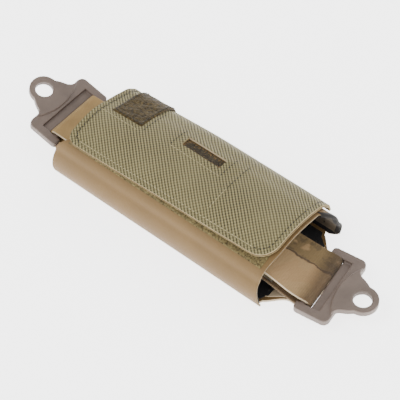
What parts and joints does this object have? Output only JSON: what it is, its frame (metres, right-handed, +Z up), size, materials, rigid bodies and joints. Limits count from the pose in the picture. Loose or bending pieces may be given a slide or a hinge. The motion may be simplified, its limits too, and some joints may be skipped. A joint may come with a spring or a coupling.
{
  "type": "helmet rail pouch",
  "caption": "Open-ended fabric sleeve with a woven hinged flap, and at each end a webbing loop that carries a moulded mounting plate with a screw hole.",
  "frame": {"origin": "centre of the bounding box at the level of the surface that the back panel rests on", "axes": "+X along the pouch from the plain strap to the printed strap, +Y from the flap's free edge to its hinge, +Z up from the back panel to the flap"},
  "size_m": [0.1729, 0.0492, 0.0233],
  "materials": {
    "outer_laminate": "smooth laminated fabric, matt",
    "beige_lining": "smooth fabric, matt",
    "dark_lining": "smooth coated fabric, matt",
    "far_lining": "smooth coated fabric, matt",
    "dark_binding": "folded tape, matt",
    "khaki_pile": "loop pile",
    "flap_weave": "coarse ballistic weave",
    "hook_tape": "hook tape",
    "brown_pile": "loop pile",
    "tan_webbing": "smooth laminated webbing",
    "camouflage_webbing": "printed laminated webbing",
    "plate_polymer": "fine moulded texture, satin"
  },
  "bodies": {
    "pouch": {"back_panel": "outer_laminate", "back_lining": "beige_lining", "near_wall": "outer_laminate", "near_wall_lining": "dark_lining", "top_sheet": "outer_laminate", "top_sheet_lining": "dark_lining", "far_wall": "outer_laminate", "far_wall_lining": "far_lining", "left_end_binding": "dark_binding", "right_end_binding": "dark_binding", "loop_field": "khaki_pile", "flap_anchor": "flap_weave"},
    "flap": {"flap_shell": "flap_weave", "flap_lining": "outer_laminate", "flap_hook_field": "hook_tape", "window_pile": "brown_pile", "marker_patch": "brown_pile"},
    "left_strap_loop": {"left_strap": "tan_webbing", "left_hook_pad": "hook_tape", "left_loop_pad": "khaki_pile"},
    "right_strap_loop": {"right_strap": "camouflage_webbing", "right_hook_pad": "hook_tape", "right_loop_pad": "khaki_pile"},
    "left_plate": {"left_mount_plate": "plate_polymer"},
    "right_plate": {"right_mount_plate": "plate_polymer"}
  },
  "joints": [
    {"name": "flap_hinge", "type": "hinge", "parent": "pouch", "child": "flap", "pos_m": [0, 0.02388, 0.01231], "axis": [-1, 0, 0], "range_deg": [0, 150]},
    {"name": "left_strap_slide", "type": "slide", "parent": "pouch", "child": "left_strap_loop", "axis": [-1, 0, 0], "range_m": [-0.005, 0.013]},
    {"name": "right_strap_slide", "type": "slide", "parent": "pouch", "child": "right_strap_loop", "axis": [1, 0, 0], "range_m": [-0.0107, 0.0073]},
    {"name": "left_plate_tilt", "type": "hinge", "parent": "left_strap_loop", "child": "left_plate", "pos_m": [-0.06263, -0.00106, 0.006], "axis": [0, 1, 0], "range_deg": [-22, 35]},
    {"name": "right_plate_tilt", "type": "hinge", "parent": "right_strap_loop", "child": "right_plate", "pos_m": [0.06207, -0.00246, 0.005], "axis": [0.1219, -0.9925, 0], "range_deg": [-9, 48]}
  ]
}
